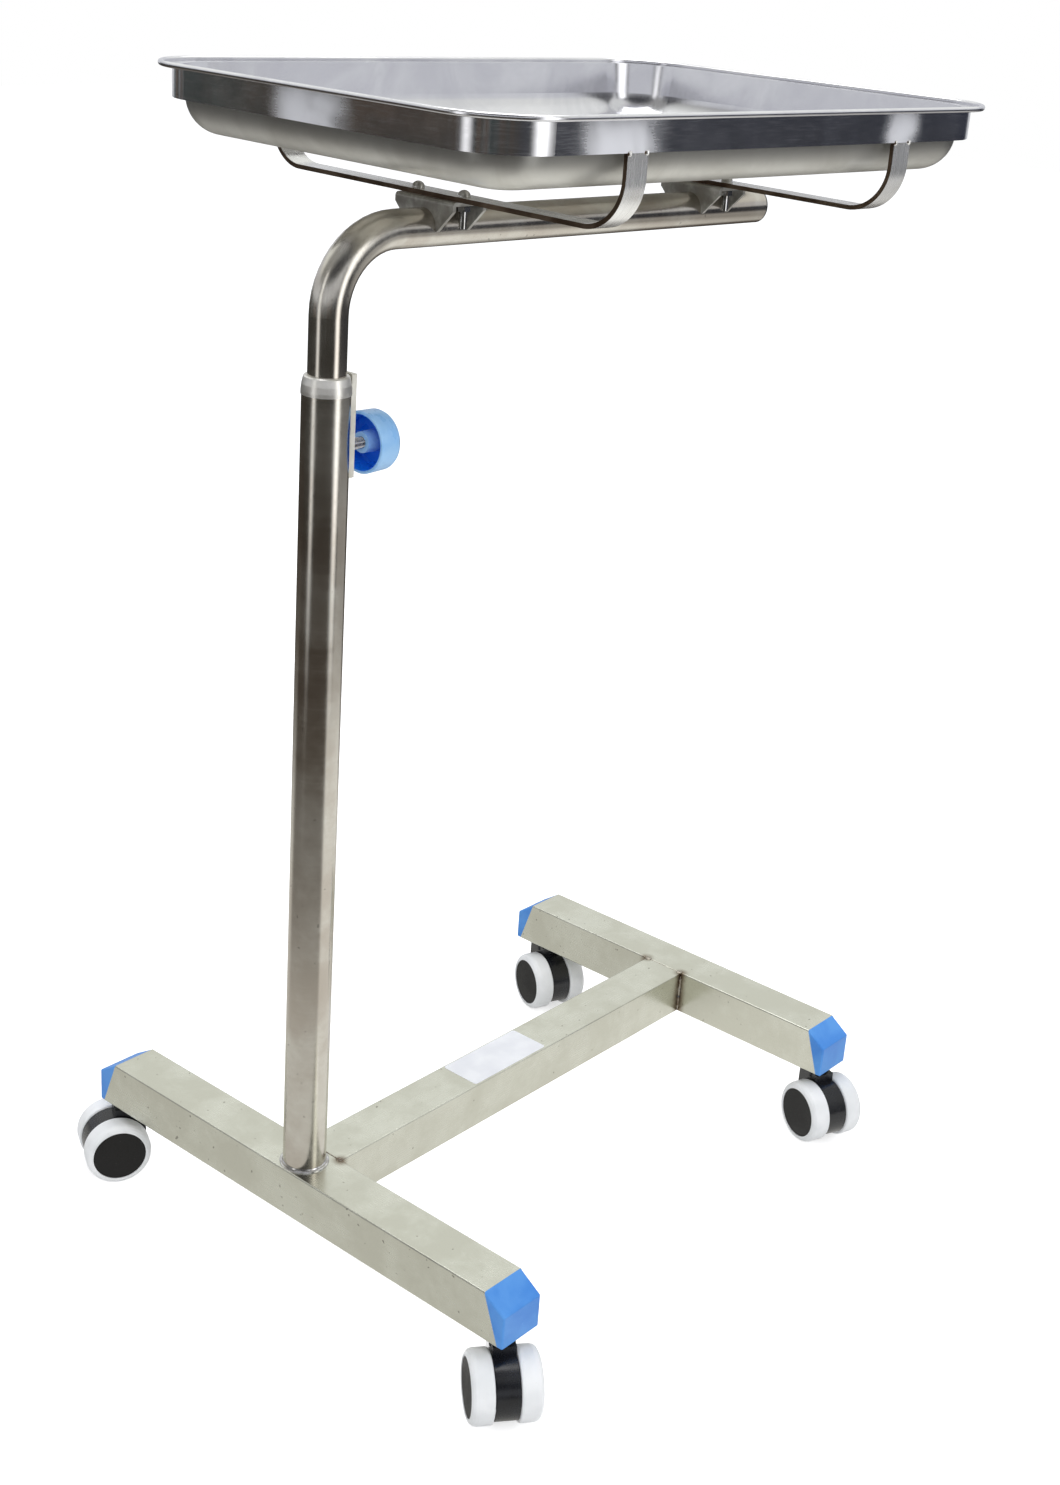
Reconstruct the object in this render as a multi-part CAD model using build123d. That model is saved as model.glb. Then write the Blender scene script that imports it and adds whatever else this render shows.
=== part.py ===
from build123d import *
import os

# Mayo instrument stand, millimetres, Z up, standing on Z = 0.
# Everything is laid out from the mast axis: X runs out under the tray, Y across the base.
# FRAME_SHIFT_X then puts the middle of the whole stand on the origin.
FRAME_SHIFT_X = -217.7
ARM_TURN = -5.7          # the arm and tray stand this many degrees off the base's centre line

# H-shaped base of square tube
BAR = 38.1
BAR_WALL = 1.5
BAR_BOTTOM = 61.9
BAR_TOP = BAR_BOTTOM + BAR
REAR_BAR_TOP_LENGTH = 390.0
REAR_BAR_BOTTOM_LENGTH = 419.0
FRONT_BAR_TOP_LENGTH = 307.0
FRONT_BAR_BOTTOM_LENGTH = 332.0
FRONT_BAR_X = 457.0      # mast axis to the middle of the front bar

# plastic caps on the slanted bar ends
CAP_REACH = 4.4          # how far a cap stands out past the bar's long lower edge
CAP_SLOPE_DROP = 11.8    # height of its sloping upper face
CAP_EDGE_RADIUS = 1.6
CAP_PLUG_DEPTH = 10.0
CAP_PLUG_WALL = 2.0

# twin-wheel casters
WHEEL_RADIUS = 26.0
WHEEL_INNER = 9.0        # inner side of each wheel, from the caster's middle plane
WHEEL_OUTER = 25.0
HUB_RADIUS = 20.8
HUB_DISC = 2.2             # thickness of the outer disc and of the rim
HUB_BOSS_RADIUS = 6.0
HUB_SLEEVE_RADIUS = 16.0   # drum that reaches into the hood
HUB_SLEEVE_WALL = 2.0
HUB_SLEEVE_INNER = 2.5     # its inner end, from the middle plane
CASTER_TRAIL = 16.0      # swivel axis to axle
HOOD_RADIUS = 24.3
HOOD_HALF_WIDTH = 8.3
HOOD_BOTTOM = 11.0
HOOD_TOP = 60.4
HOOD_WALL = 2.0
HOOD_WEB = 3.0             # plate that joins the two sides of the hood to the axle boss
HOOD_BOSS_RADIUS = 6.0
CROWN_BOTTOM = 53.0
CROWN_X = (-10.0, 12.0)
CROWN_HALF_WIDTH = 9.5
AXLE_RADIUS = 3.0
AXLE_HALF_LENGTH = 22.0
SWIVEL_PIN_RADIUS = 4.0
SWIVEL_PIN_BOTTOM = 46.0
STEM_FLANGE_RADIUS = 8.5
STEM_FLANGE_HEIGHT = 1.2
STEM_RADIUS = 4.95
STEM_BUSH_RADIUS = 8.0
STEM_BUSH_HEIGHT = 14.0
STEM_INSET = 13.0        # swivel axis to the bar's lower end
RUNNING_GAP = 0.06

# mast
MAST_RADIUS = 15.875
MAST_WALL = 1.6
MAST_TOP = 670.0         # end of the tube; the guide collar stands on it
COLLAR_HEIGHT = 12.0
COLLAR_STUB = 20.0
COLLAR_BAND = 2.5        # upright band at the foot of its tapering shoulder
COLLAR_LOWER_RADIUS = 16.3
COLLAR_UPPER_RADIUS = 14.9

# gooseneck arm
ARM_RADIUS = 12.5
ARM_WALL = 1.5
ARM_HEIGHT = 769.0       # centre line of the level stretch
ARM_BEND = 50.0
ARM_END = 397.0
ARM_FOOT = 140.0
GLIDE_LENGTH = 25.0
GLIDE_FLOOR = 4.0
GLIDE_DRAIN_RADIUS = 8.0

# clamp screw, knob and the threaded plate on the mast
CLAMP_HEIGHT = 634.0
CLAMP_HOLE_RADIUS = 4.6
SCREW_RADIUS = 4.0
PAD_RADIUS = 3.6
PAD_INNER_X = 11.0
PAD_OUTER_X = 13.75
PLATE_WIDTH = 18.0
PLATE_INNER_X = 13.0
PLATE_OUTER_X = 18.6
PLATE_CHAMFER = 0.8
PLATE_BOTTOM = 615.0
PLATE_TOP = MAST_TOP + COLLAR_HEIGHT
KNOB_MOUTH_X = 31.5
KNOB_END_X = 50.5
KNOB_RADIUS = 20.6
KNOB_WALL = 2.2
KNOB_FLOOR = 3.0
KNOB_BOSS_RADIUS = 7.0
KNOB_BOSS_RECESS = 1.0   # the boss ends this far inside the mouth
KNOB_SCREW_DEPTH = 4.0

# tray carrier
STRAP_WIDTH = 17.0
STRAP_THICKNESS = 3.0
STRAP_BOTTOM = 787.7
STRAP_BEND = 32.0
STRAP_X = {"rear": 88.0, "front": 338.5}
HOOP_X = (-21.0, 440.0)
HOOP_WIDTH = 336.0
HOOP_CORNER = 42.0
HOOP_THICKNESS = 3.0
HOOP_BOTTOM = 834.3
HOOP_TOP = HOOP_BOTTOM + 19.0
SADDLE_LENGTH = 28.0
SADDLE_HALF_WIDTH = 28.0
SADDLE_SHEET = 2.4
SADDLE_EAR_TOP = 782.0
SADDLE_EAR_TIP = 768.0
SADDLE_EAR_TIP_Y = 13.6
BOLT_Y = 22.0
BOLT_RADIUS = 2.5
BOLT_HEAD_RADIUS = 4.4
BOLT_HEAD_HEIGHT = 3.8
BOLT_END = 770.6
NUT_ACROSS_FLATS = 8.0
NUT_HEIGHT = 4.0

# lift-out tray
TRAY_SHEET = 1.0
TRAY_BOWL = (451.0, 326.0, 38.0)
TRAY_BOTTOM = 812.0
TRAY_DRAFT = 8.0
TRAY_FLOOR_RADIUS = 24.0
TRAY_RIM = (479.0, 354.0, 51.0)
RIM_BEAD = 3.6

LEFT = 1
RIGHT = -1


def save(node, shape, turned=False):
    """Write one node; turned nodes swing about the mast with the arm."""
    if turned:
        shape = Rot(0, 0, ARM_TURN) * shape
    placed = Pos(FRAME_SHIFT_X, 0, 0) * shape
    placed.label = node
    export_step(placed, os.path.join("parts", node + ".step"))


def z_cylinder(radius, bottom, top, x=0.0, y=0.0):
    return Pos(x, y, (bottom + top) / 2) * Cylinder(radius, top - bottom)


def x_cylinder(radius, start, end, y=0.0, z=0.0):
    return Pos((start + end) / 2, y, z) * Rot(0, 90, 0) * Cylinder(radius, end - start)


def y_cylinder(radius, start, end, x=0.0, z=0.0):
    return Pos(x, (start + end) / 2, z) * Rot(90, 0, 0) * Cylinder(radius, end - start)


def box(x_range, y_range, z_range):
    sizes = [high - low for low, high in (x_range, y_range, z_range)]
    middle = [(low + high) / 2 for low, high in (x_range, y_range, z_range)]
    return Pos(*middle) * Box(*sizes)


def yz_prism(points, x_middle, thickness):
    """A prism along X from an outline given as (y, z) points."""
    outline = Plane.YZ * make_face(Polyline(*points, close=True))
    return Pos(x_middle, 0, 0) * extrude(outline, amount=thickness / 2, both=True)


# Base

def cross_bar(x_middle, top_length, bottom_length):
    """Square tube with both ends cut back towards the top."""
    solid = yz_prism(
        [
            (-bottom_length / 2, BAR_BOTTOM),
            (bottom_length / 2, BAR_BOTTOM),
            (top_length / 2, BAR_TOP),
            (-top_length / 2, BAR_TOP),
        ],
        x_middle,
        BAR,
    )
    solid = fillet(solid.edges().filter_by(Axis.Y), 1.2)
    inside = BAR / 2 - BAR_WALL
    middle_z = (BAR_BOTTOM + BAR_TOP) / 2
    bore = box(
        (x_middle - inside, x_middle + inside),
        (-bottom_length, bottom_length),
        (middle_z - inside, middle_z + inside),
    )
    bar = solid - bore
    for side in (LEFT, RIGHT):
        y = side * (bottom_length / 2 - STEM_INSET)
        bar -= z_cylinder(STEM_BUSH_RADIUS, BAR_BOTTOM - 1, BAR_BOTTOM + 10, x_middle, y)
    return bar


def middle_bar():
    start = BAR / 2
    end = FRONT_BAR_X - BAR / 2
    inside = BAR / 2 - BAR_WALL
    middle_z = (BAR_BOTTOM + BAR_TOP) / 2
    tube = box((start, end), (-BAR / 2, BAR / 2), (BAR_BOTTOM, BAR_TOP))
    tube = fillet(tube.edges().filter_by(Axis.X), 1.2)
    return tube - box((start, end), (-inside, inside), (middle_z - inside, middle_z + inside))


def end_cap(x_middle, top_length, bottom_length, side):
    """Moulded cap: sloping upper face, upright outer face and a hollow plug in the tube."""
    mouth_top = top_length / 2
    mouth_bottom = bottom_length / 2
    outer = mouth_bottom + CAP_REACH
    shell = yz_prism(
        [
            (mouth_bottom, BAR_BOTTOM),
            (outer, BAR_BOTTOM),
            (outer, BAR_TOP - CAP_SLOPE_DROP),
            (mouth_top, BAR_TOP),
        ],
        x_middle,
        BAR,
    )
    rounded = [
        edge
        for edge in shell.edges()
        if edge.center().Y > mouth_bottom + 0.5 or edge.center().Z > BAR_TOP - CAP_SLOPE_DROP + 1
    ]
    on_mouth = Plane(
        origin=(x_middle, mouth_bottom, BAR_BOTTOM),
        z_dir=Vector(0, BAR, mouth_bottom - mouth_top),
    )
    rounded = [edge for edge in rounded if on_mouth.to_local_coords(edge.center()).Z > 0.4]
    shell = fillet(rounded, CAP_EDGE_RADIUS)
    slope = (mouth_bottom - mouth_top) / BAR
    plug_low = BAR_BOTTOM + STEM_BUSH_HEIGHT + 2
    plug_high = BAR_TOP - BAR_WALL - 0.2
    mouth_at_low = mouth_bottom - (plug_low - BAR_BOTTOM) * slope
    mouth_at_high = mouth_bottom - (plug_high - BAR_BOTTOM) * slope
    plug_outline = [
        (mouth_at_low, plug_low),
        (mouth_at_high, plug_high),
        (mouth_at_high - CAP_PLUG_DEPTH, plug_high),
        (mouth_at_low - CAP_PLUG_DEPTH, plug_low),
    ]
    plug_width = BAR - 2 * BAR_WALL - 0.4
    plug = yz_prism(plug_outline, x_middle, plug_width)
    core_outline = [
        (mouth_at_low, plug_low + CAP_PLUG_WALL),
        (mouth_at_high, plug_high - CAP_PLUG_WALL),
        (mouth_at_high - CAP_PLUG_DEPTH - 1, plug_high - CAP_PLUG_WALL),
        (mouth_at_low - CAP_PLUG_DEPTH - 1, plug_low + CAP_PLUG_WALL),
    ]
    plug -= yz_prism(core_outline, x_middle, plug_width - 2 * CAP_PLUG_WALL)
    cap = shell + plug
    if side == RIGHT:
        cap = mirror(cap, about=Plane.XZ)
    return cap


def frame_welds():
    """Fillet beads where the middle bar meets the two cross bars, above and at the sides."""
    beads = []
    half = BAR / 2
    for x, inward in ((half, 1), (FRONT_BAR_X - half, -1)):
        for side in (LEFT, RIGHT):
            corner = [
                (x, side * half),
                (x + inward * 2.2, side * half),
                (x, side * (half + 2.2)),
            ]
            face = make_face(Polyline(*corner, close=True))
            bead = Pos(0, 0, BAR_BOTTOM + 2) * extrude(face, amount=BAR - 4, dir=(0, 0, 1))
            beads.append(bead)
    return Compound(children=beads)


def mast_tube():
    tube = z_cylinder(MAST_RADIUS, BAR_TOP, MAST_TOP)
    tube -= z_cylinder(MAST_RADIUS - MAST_WALL, BAR_TOP, MAST_TOP)
    return tube - x_cylinder(CLAMP_HOLE_RADIUS, 0, MAST_RADIUS + 2, z=CLAMP_HEIGHT)


def mast_weld():
    """Ring of weld around the foot of the mast."""
    outline = [
        (MAST_RADIUS, BAR_TOP),
        (MAST_RADIUS + 2.4, BAR_TOP),
        (MAST_RADIUS + 2.2, BAR_TOP + 0.9),
        (MAST_RADIUS + 1.5, BAR_TOP + 1.5),
        (MAST_RADIUS + 0.7, BAR_TOP + 1.4),
        (MAST_RADIUS, BAR_TOP + 2.2),
    ]
    section = Plane.XZ * make_face(Polyline(*outline, close=True))
    return revolve(section, Axis.Z)


def guide_collar():
    """Turned collar: a head with a rounded taper on the tube's end and a stub inside it."""
    bore = ARM_RADIUS + RUNNING_GAP
    stub = MAST_RADIUS - MAST_WALL
    top = MAST_TOP + COLLAR_HEIGHT
    outline = [
        (bore, MAST_TOP - COLLAR_STUB),
        (stub, MAST_TOP - COLLAR_STUB),
        (stub, MAST_TOP),
        (COLLAR_LOWER_RADIUS, MAST_TOP),
        (COLLAR_LOWER_RADIUS, MAST_TOP + COLLAR_BAND),
        (COLLAR_LOWER_RADIUS - 0.4, MAST_TOP + COLLAR_BAND + 4),
        (COLLAR_UPPER_RADIUS, top - 0.8),
        (COLLAR_UPPER_RADIUS - 0.8, top),
        (bore, top),
    ]
    section = Plane.XZ * make_face(Polyline(*outline, close=True))
    return revolve(section, Axis.Z)


def clamp_plate():
    """Plate welded up the mast's +X side, threaded for the clamp screw."""
    half = PLATE_WIDTH / 2
    plate = box((PLATE_INNER_X, PLATE_OUTER_X), (-half, half), (PLATE_BOTTOM, PLATE_TOP))
    plate = chamfer(plate.edges().filter_by(Axis.Z).group_by(Axis.X)[-1], PLATE_CHAMFER)
    plate -= z_cylinder(MAST_RADIUS, PLATE_BOTTOM - 1, MAST_TOP)
    plate -= z_cylinder(COLLAR_LOWER_RADIUS, MAST_TOP, PLATE_TOP + 1)
    return plate - x_cylinder(SCREW_RADIUS + RUNNING_GAP, 10, PLATE_OUTER_X + 1, z=CLAMP_HEIGHT)


# Casters, drawn with the swivel axis on Z and the axle trailing towards +X

def caster_stem():
    shank_top = BAR_BOTTOM + STEM_BUSH_HEIGHT + 2
    flange_bottom = BAR_BOTTOM - STEM_FLANGE_HEIGHT
    stem = z_cylinder(SWIVEL_PIN_RADIUS, SWIVEL_PIN_BOTTOM, flange_bottom)
    stem += z_cylinder(STEM_FLANGE_RADIUS, flange_bottom, BAR_BOTTOM)
    shank = z_cylinder(STEM_RADIUS, BAR_BOTTOM, shank_top)
    shank = chamfer(shank.edges().group_by(Axis.Z)[-1], 1.0)
    return stem + shank


def stem_bush():
    top = BAR_BOTTOM + STEM_BUSH_HEIGHT
    return z_cylinder(STEM_BUSH_RADIUS, BAR_BOTTOM, top) - z_cylinder(STEM_RADIUS, BAR_BOTTOM, top)


def caster_hood():
    """Moulded fender between the wheels: an open shell on a middle web, cut away below."""
    half = HOOD_HALF_WIDTH
    hood = y_cylinder(HOOD_RADIUS, -half, half, CASTER_TRAIL, WHEEL_RADIUS)
    hood += box((CASTER_TRAIL - HOOD_RADIUS, CASTER_TRAIL), (-half, half), (WHEEL_RADIUS, HOOD_TOP - 3))
    hollow = y_cylinder(HOOD_RADIUS - HOOD_WALL, -half, half, CASTER_TRAIL, WHEEL_RADIUS)
    hollow -= y_cylinder(HOOD_RADIUS, -HOOD_WEB / 2, HOOD_WEB / 2, CASTER_TRAIL, WHEEL_RADIUS)
    hollow -= y_cylinder(HOOD_BOSS_RADIUS, -half, half, CASTER_TRAIL, WHEEL_RADIUS)
    hood -= hollow
    hood -= box((-40, 60), (-20, 20), (-10, HOOD_BOTTOM))
    crown = box(CROWN_X, (-CROWN_HALF_WIDTH, CROWN_HALF_WIDTH), (CROWN_BOTTOM, HOOD_TOP))
    crown = fillet(crown.edges().filter_by(Axis.Z), 6)
    crown = fillet(crown.edges().group_by(Axis.Z)[-1], 1.5)
    hood += crown
    socket_bottom = SWIVEL_PIN_BOTTOM - 0.4
    hood -= z_cylinder(SWIVEL_PIN_RADIUS + RUNNING_GAP, socket_bottom, HOOD_TOP + 1)
    return hood - y_cylinder(AXLE_RADIUS, -half, half, CASTER_TRAIL, WHEEL_RADIUS)


def caster_axle():
    axle = y_cylinder(AXLE_RADIUS, -AXLE_HALF_LENGTH, AXLE_HALF_LENGTH, CASTER_TRAIL, WHEEL_RADIUS)
    return chamfer(axle.edges().filter_by(GeomType.CIRCLE), 0.5)


def wheel_section(points):
    """Revolve an outline of (distance from the middle plane, radius) about the axle."""
    outline = Polyline(*[(radius, width) for width, radius in points], close=True)
    solid = revolve(make_face(outline), Axis.Y)
    return Pos(CASTER_TRAIL, 0, WHEEL_RADIUS) * solid


def wheel_hub():
    """Flat outer disc, a rim flange for the tyre, and a drum that turns inside the hood."""
    bore = AXLE_RADIUS + RUNNING_GAP
    inner = WHEEL_INNER + 0.6
    face = WHEEL_OUTER - 0.4
    back = face - HUB_DISC
    return wheel_section(
        [
            (inner, bore),
            (inner, HUB_BOSS_RADIUS),
            (back, HUB_BOSS_RADIUS),
            (back, HUB_SLEEVE_RADIUS - HUB_SLEEVE_WALL),
            (HUB_SLEEVE_INNER, HUB_SLEEVE_RADIUS - HUB_SLEEVE_WALL),
            (HUB_SLEEVE_INNER, HUB_SLEEVE_RADIUS),
            (back, HUB_SLEEVE_RADIUS),
            (back, HUB_RADIUS - HUB_DISC),
            (inner, HUB_RADIUS - HUB_DISC),
            (inner, HUB_RADIUS),
            (face - 0.5, HUB_RADIUS),
            (face, HUB_RADIUS - 0.5),
            (face, 0.0),
            (AXLE_HALF_LENGTH + 0.1, 0.0),
            (AXLE_HALF_LENGTH + 0.1, bore),
        ]
    )


def wheel_tyre():
    """Soft tyre with a well rounded outer shoulder."""
    return wheel_section(
        [
            (WHEEL_INNER, HUB_RADIUS),
            (WHEEL_INNER, WHEEL_RADIUS - 1.6),
            (WHEEL_INNER + 0.5, WHEEL_RADIUS - 0.5),
            (WHEEL_INNER + 1.6, WHEEL_RADIUS),
            (WHEEL_OUTER - 5.0, WHEEL_RADIUS),
            (WHEEL_OUTER - 2.6, WHEEL_RADIUS - 0.6),
            (WHEEL_OUTER - 0.9, WHEEL_RADIUS - 2.0),
            (WHEEL_OUTER, WHEEL_RADIUS - 3.8),
            (WHEEL_OUTER, HUB_RADIUS),
        ]
    )


# corner of the base: (swivel axis x, y, heading of the trailing axle in degrees)
REAR_STEM_Y = REAR_BAR_BOTTOM_LENGTH / 2 - STEM_INSET
FRONT_STEM_Y = FRONT_BAR_BOTTOM_LENGTH / 2 - STEM_INSET
CASTERS = {
    "rear_left": (0.0, REAR_STEM_Y, 152.0),
    "rear_right": (0.0, -REAR_STEM_Y, 232.0),
    "front_left": (FRONT_BAR_X, FRONT_STEM_Y, 249.0),
    "front_right": (FRONT_BAR_X, -FRONT_STEM_Y, 249.0),
}


def save_casters():
    outer_hub = wheel_hub()
    outer_tyre = wheel_tyre()
    pieces = {
        "stem": caster_stem(),
        "hood": caster_hood(),
        "axle": caster_axle(),
        "hub_a": outer_hub,
        "hub_b": mirror(outer_hub, about=Plane.XZ),
        "tyre_a": outer_tyre,
        "tyre_b": mirror(outer_tyre, about=Plane.XZ),
    }
    for corner, (x, y, heading) in CASTERS.items():
        place = Pos(x, y, 0) * Rot(0, 0, heading)
        for piece, shape in pieces.items():
            save(f"{corner}_{piece}", place * shape)
    bush = stem_bush()
    save("stem_bushes", Compound(children=[Pos(x, y, 0) * bush for x, y, _ in CASTERS.values()]))


# Arm

def gooseneck_tube():
    """One bent tube: up through the mast, round the bend and out level under the tray."""
    ring = Circle(ARM_RADIUS) - Circle(ARM_RADIUS - ARM_WALL)
    bend_start = ARM_HEIGHT - ARM_BEND
    upright = Pos(0, 0, ARM_FOOT) * extrude(ring, amount=bend_start - ARM_FOOT)
    turn_axis = Axis((ARM_BEND, 0, bend_start), (0, 1, 0))
    bend = revolve(Pos(0, 0, bend_start) * ring, turn_axis, 90)
    level = Plane(origin=(ARM_BEND, 0, ARM_HEIGHT), z_dir=(1, 0, 0)) * ring
    return upright + bend + extrude(level, amount=ARM_END - ARM_BEND)


def arm_plug():
    """Shallow domed plug in the arm's free end."""
    inside = ARM_RADIUS - ARM_WALL
    outline = [
        (ARM_END - 12, 0),
        (ARM_END - 12, inside - 0.6),
        (ARM_END - 10, inside),
        (ARM_END, inside),
        (ARM_END, ARM_RADIUS),
        (ARM_END + 1.0, ARM_RADIUS),
        (ARM_END + 2.0, ARM_RADIUS - 1.2),
        (ARM_END + 2.4, 0),
    ]
    section = make_face(Polyline(*[(x, radius) for x, radius in outline], close=True))
    return Pos(0, 0, ARM_HEIGHT) * revolve(section, Axis.X)


def foot_glide():
    """Nylon ring under and around the tube's lower end; it slides in the mast."""
    outer = MAST_RADIUS - MAST_WALL - RUNNING_GAP
    bottom = ARM_FOOT - GLIDE_FLOOR
    top = ARM_FOOT + GLIDE_LENGTH
    ring = z_cylinder(outer, bottom, top)
    ring = chamfer(ring.edges().filter_by(GeomType.CIRCLE), 0.6)
    ring -= z_cylinder(ARM_RADIUS + RUNNING_GAP, ARM_FOOT - RUNNING_GAP, top)
    return ring - z_cylinder(GLIDE_DRAIN_RADIUS, bottom, ARM_FOOT)


def carrier_strap(x_middle):
    """Flat bar bent up at both ends to meet the underside of the hoop."""
    half = HOOP_WIDTH / 2
    outer = Plane.YZ * Pos(0, STRAP_BOTTOM + 50) * Rectangle(2 * half, 100)
    outer = fillet(outer.vertices().group_by(Axis.Z)[0], STRAP_BEND)
    inner_half = half - STRAP_THICKNESS
    inner = Plane.YZ * Pos(0, STRAP_BOTTOM + STRAP_THICKNESS + 50) * Rectangle(2 * inner_half, 100)
    inner = fillet(inner.vertices().group_by(Axis.Z)[0], STRAP_BEND - STRAP_THICKNESS)
    strap = Pos(x_middle, 0, 0) * extrude(outer - inner, amount=STRAP_WIDTH / 2, both=True)
    wide = (x_middle - STRAP_WIDTH, x_middle + STRAP_WIDTH)
    strap -= box(wide, (-half - 5, half + 5), (HOOP_BOTTOM, HOOP_BOTTOM + 100))
    for side in (LEFT, RIGHT):
        y = side * BOLT_Y
        strap -= z_cylinder(BOLT_RADIUS, STRAP_BOTTOM - 5, STRAP_BOTTOM + 5, x_middle, y)
    return strap


def saddle(x_middle):
    """Folded bracket: a top sheet under the strap and two ears notched over the arm tube."""
    ear_outline = [
        (-SADDLE_HALF_WIDTH, STRAP_BOTTOM),
        (-SADDLE_HALF_WIDTH, SADDLE_EAR_TOP),
        (-SADDLE_EAR_TIP_Y, SADDLE_EAR_TIP),
        (SADDLE_EAR_TIP_Y, SADDLE_EAR_TIP),
        (SADDLE_HALF_WIDTH, SADDLE_EAR_TOP),
        (SADDLE_HALF_WIDTH, STRAP_BOTTOM),
    ]
    block = yz_prism(ear_outline, x_middle, SADDLE_LENGTH)
    block = fillet(block.edges().filter_by(Axis.Y).group_by(Axis.Z)[-1], SADDLE_SHEET)
    inside = SADDLE_LENGTH / 2 - SADDLE_SHEET
    block -= box(
        (x_middle - inside, x_middle + inside),
        (-SADDLE_HALF_WIDTH - 1, SADDLE_HALF_WIDTH + 1),
        (SADDLE_EAR_TIP - 5, STRAP_BOTTOM - SADDLE_SHEET),
    )
    span = (x_middle - SADDLE_LENGTH, x_middle + SADDLE_LENGTH)
    block -= x_cylinder(ARM_RADIUS, *span, z=ARM_HEIGHT)
    block -= box(span, (-ARM_RADIUS, ARM_RADIUS), (SADDLE_EAR_TIP - 5, ARM_HEIGHT))
    for side in (LEFT, RIGHT):
        y = side * BOLT_Y
        block -= z_cylinder(BOLT_RADIUS, STRAP_BOTTOM - 5, STRAP_BOTTOM + 5, x_middle, y)
    return block


def carrier_bolts(x_middle):
    """Two dome-head bolts through strap and saddle."""
    seat = STRAP_BOTTOM + STRAP_THICKNESS
    dome_radius = (BOLT_HEAD_RADIUS ** 2 + BOLT_HEAD_HEIGHT ** 2) / (2 * BOLT_HEAD_HEIGHT)
    bolts = []
    for side in (LEFT, RIGHT):
        y = side * BOLT_Y
        dome = Pos(x_middle, y, seat + BOLT_HEAD_HEIGHT - dome_radius) * Sphere(dome_radius)
        reach = BOLT_HEAD_RADIUS + 1
        head = dome & box(
            (x_middle - reach, x_middle + reach), (y - reach, y + reach), (seat, seat + 10)
        )
        shank = z_cylinder(BOLT_RADIUS, BOLT_END, seat, x_middle, y)
        bolts.append(head + shank)
    return Compound(children=bolts)


def carrier_nuts(x_middle):
    top = STRAP_BOTTOM - SADDLE_SHEET
    nuts = []
    for side in (LEFT, RIGHT):
        hexagon = RegularPolygon(NUT_ACROSS_FLATS / 2, 6, major_radius=False) - Circle(BOLT_RADIUS)
        nut = Pos(x_middle, side * BOLT_Y, top - NUT_HEIGHT) * extrude(hexagon, amount=NUT_HEIGHT)
        nuts.append(nut)
    return Compound(children=nuts)


def hoop():
    """Upright flat bar bent to a rounded rectangle; the tray drops into it."""
    length = HOOP_X[1] - HOOP_X[0]
    middle = (HOOP_X[0] + HOOP_X[1]) / 2
    inset = 2 * HOOP_THICKNESS
    ring = RectangleRounded(length, HOOP_WIDTH, HOOP_CORNER)
    ring -= RectangleRounded(length - inset, HOOP_WIDTH - inset, HOOP_CORNER - HOOP_THICKNESS)
    return Pos(middle, 0, HOOP_BOTTOM) * extrude(ring, amount=HOOP_TOP - HOOP_BOTTOM)


def tray():
    """Deep-drawn pan with tapering walls, a rounded floor edge and a rolled rim."""
    middle = (HOOP_X[0] + HOOP_X[1]) / 2
    depth = HOOP_TOP + TRAY_SHEET - TRAY_BOTTOM

    def pan(length, width, corner, drop, floor_radius):
        mouth = RectangleRounded(length, width, corner)
        solid = extrude(mouth, amount=drop, dir=(0, 0, -1), taper=TRAY_DRAFT)
        return fillet(solid.edges().group_by(Axis.Z)[0], floor_radius)

    length, width, corner = TRAY_BOWL
    outside = pan(length, width, corner, depth, TRAY_FLOOR_RADIUS)
    inside = pan(
        length - 2 * TRAY_SHEET,
        width - 2 * TRAY_SHEET,
        corner - TRAY_SHEET,
        depth - TRAY_SHEET,
        TRAY_FLOOR_RADIUS - TRAY_SHEET,
    )
    rim_length, rim_width, rim_corner = TRAY_RIM
    flange = RectangleRounded(rim_length - RIM_BEAD, rim_width - RIM_BEAD, rim_corner - RIM_BEAD / 2)
    flange = Pos(0, 0, -TRAY_SHEET) * extrude(flange, amount=TRAY_SHEET)
    bead = RectangleRounded(rim_length, rim_width, rim_corner)
    bead -= RectangleRounded(rim_length - 2 * RIM_BEAD, rim_width - 2 * RIM_BEAD, rim_corner - RIM_BEAD)
    bead = Pos(0, 0, -TRAY_SHEET) * extrude(bead, amount=RIM_BEAD)
    bead = fillet(bead.edges().filter_by(Plane.XY), RIM_BEAD / 2 - 0.15)
    shape = (outside + flange + bead) - inside
    return Pos(middle, 0, HOOP_TOP + TRAY_SHEET) * shape


# Clamp

def clamp_pad():
    """Small brass pad, hollowed to the arm tube's radius."""
    pad = x_cylinder(PAD_RADIUS, PAD_INNER_X, PAD_OUTER_X, z=CLAMP_HEIGHT)
    return pad - z_cylinder(ARM_RADIUS + 0.02, CLAMP_HEIGHT - 10, CLAMP_HEIGHT + 10)


def clamp_screw():
    screw = x_cylinder(SCREW_RADIUS, PAD_OUTER_X, KNOB_END_X - KNOB_SCREW_DEPTH, z=CLAMP_HEIGHT)
    return chamfer(screw.edges().filter_by(GeomType.CIRCLE), 0.6)


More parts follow.
